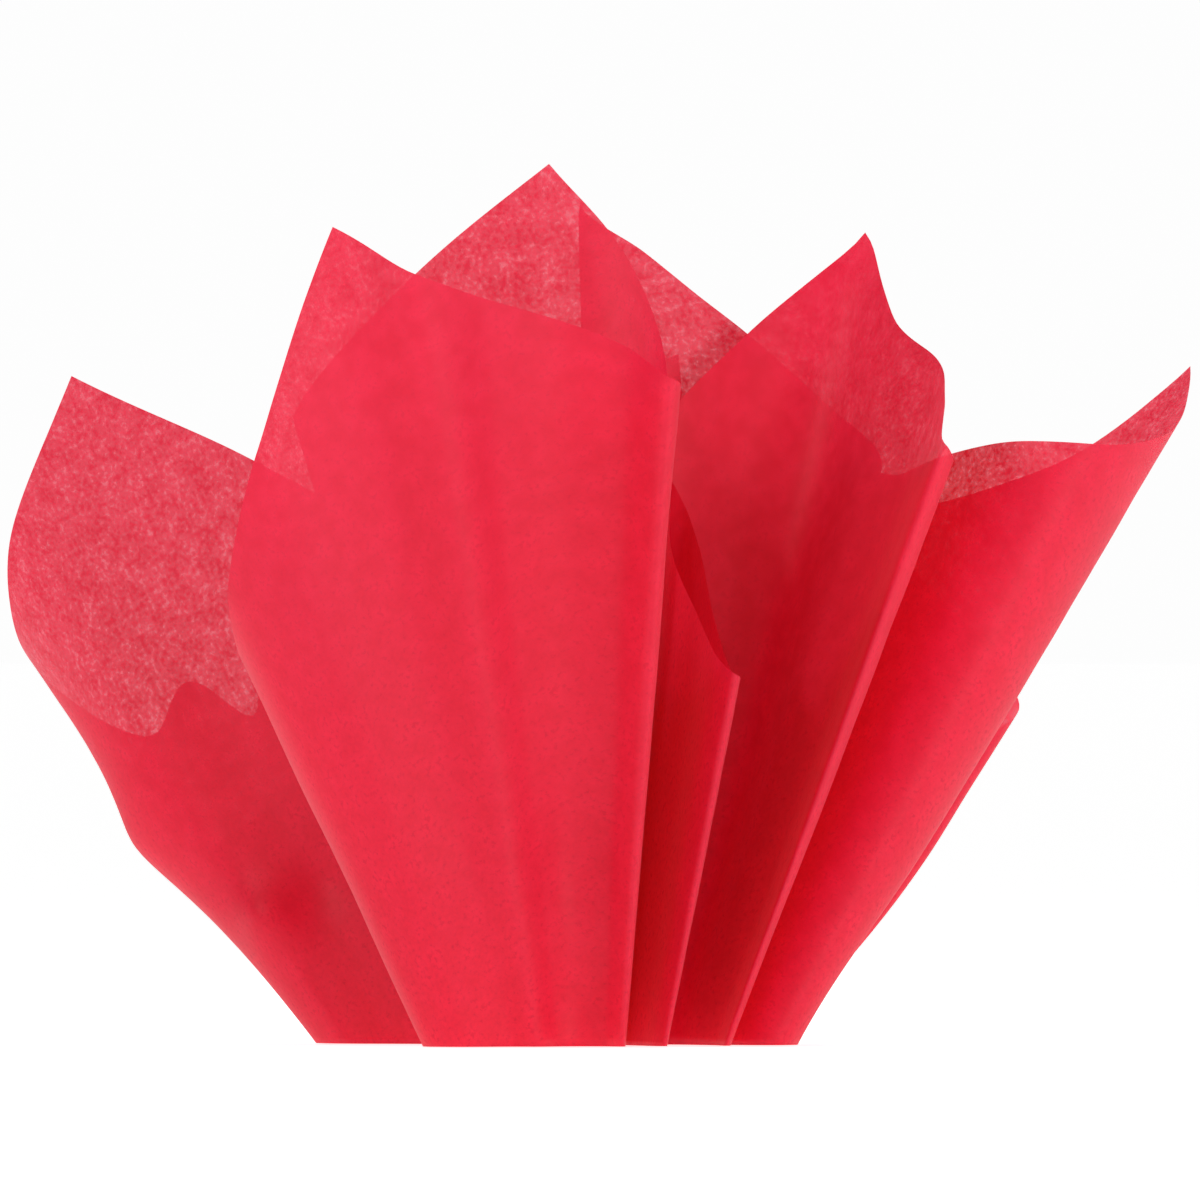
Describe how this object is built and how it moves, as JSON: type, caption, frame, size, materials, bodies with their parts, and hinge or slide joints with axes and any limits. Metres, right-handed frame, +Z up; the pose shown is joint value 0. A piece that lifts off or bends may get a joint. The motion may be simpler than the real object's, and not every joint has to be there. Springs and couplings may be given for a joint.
{
  "type": "gathered tissue paper fan",
  "caption": "Gathered sheets of red gift-wrap tissue paper, pinched together and standing upright on a pressed foot, with pointed corners fanned out as petals.",
  "frame": {"origin": "centre of the whole fan's box, on the surface it stands on", "axes": "+Z up, +X to the right and -Y towards the person who looks at the fan's front"},
  "size_m": [0.3024, 0.2632, 0.2243],
  "materials": {
    "red_tissue": "matt, thin and translucent, with a soft fibre mottle"
  },
  "bodies": {
    "root": {"left_sheet": "red_tissue", "right_sheet": "red_tissue"}
  },
  "joints": []
}
